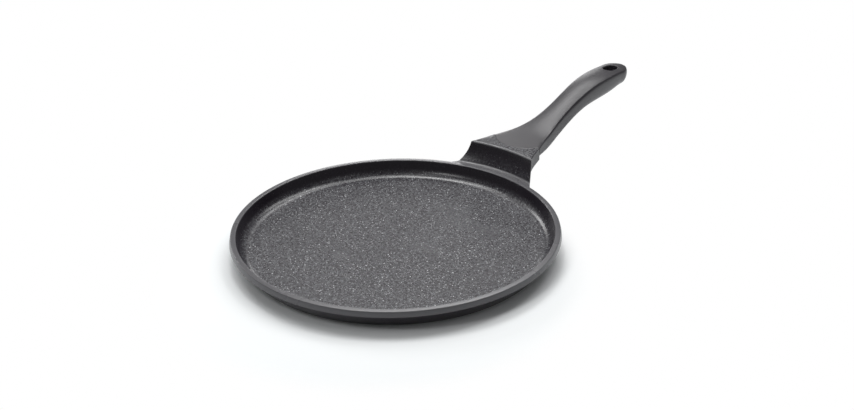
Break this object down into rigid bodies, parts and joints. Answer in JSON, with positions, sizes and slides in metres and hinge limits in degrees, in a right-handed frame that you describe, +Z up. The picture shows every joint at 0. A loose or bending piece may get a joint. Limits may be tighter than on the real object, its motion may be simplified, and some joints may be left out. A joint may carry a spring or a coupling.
{
  "type": "crepe pan",
  "caption": "Low-rimmed round crepe pan with a raised cast bracket and a long curved handle with a hanging slot.",
  "frame": {"origin": "centre of the flat base, on the table", "axes": "+X from the pan's centre along the handle, +Z up from the table"},
  "size_m": [0.4458, 0.2618, 0.0552],
  "materials": {
    "coated_aluminium": "stone-effect nonstick coating, dark grey with fine pale specks",
    "handle_resin": "satin moulded resin, dark grey",
    "zinc_steel": "zinc plated"
  },
  "bodies": {
    "root": {"pan_body": "coated_aluminium", "handle": "handle_resin", "handle_screw": "zinc_steel", "spring_washer": "zinc_steel"}
  },
  "joints": []
}
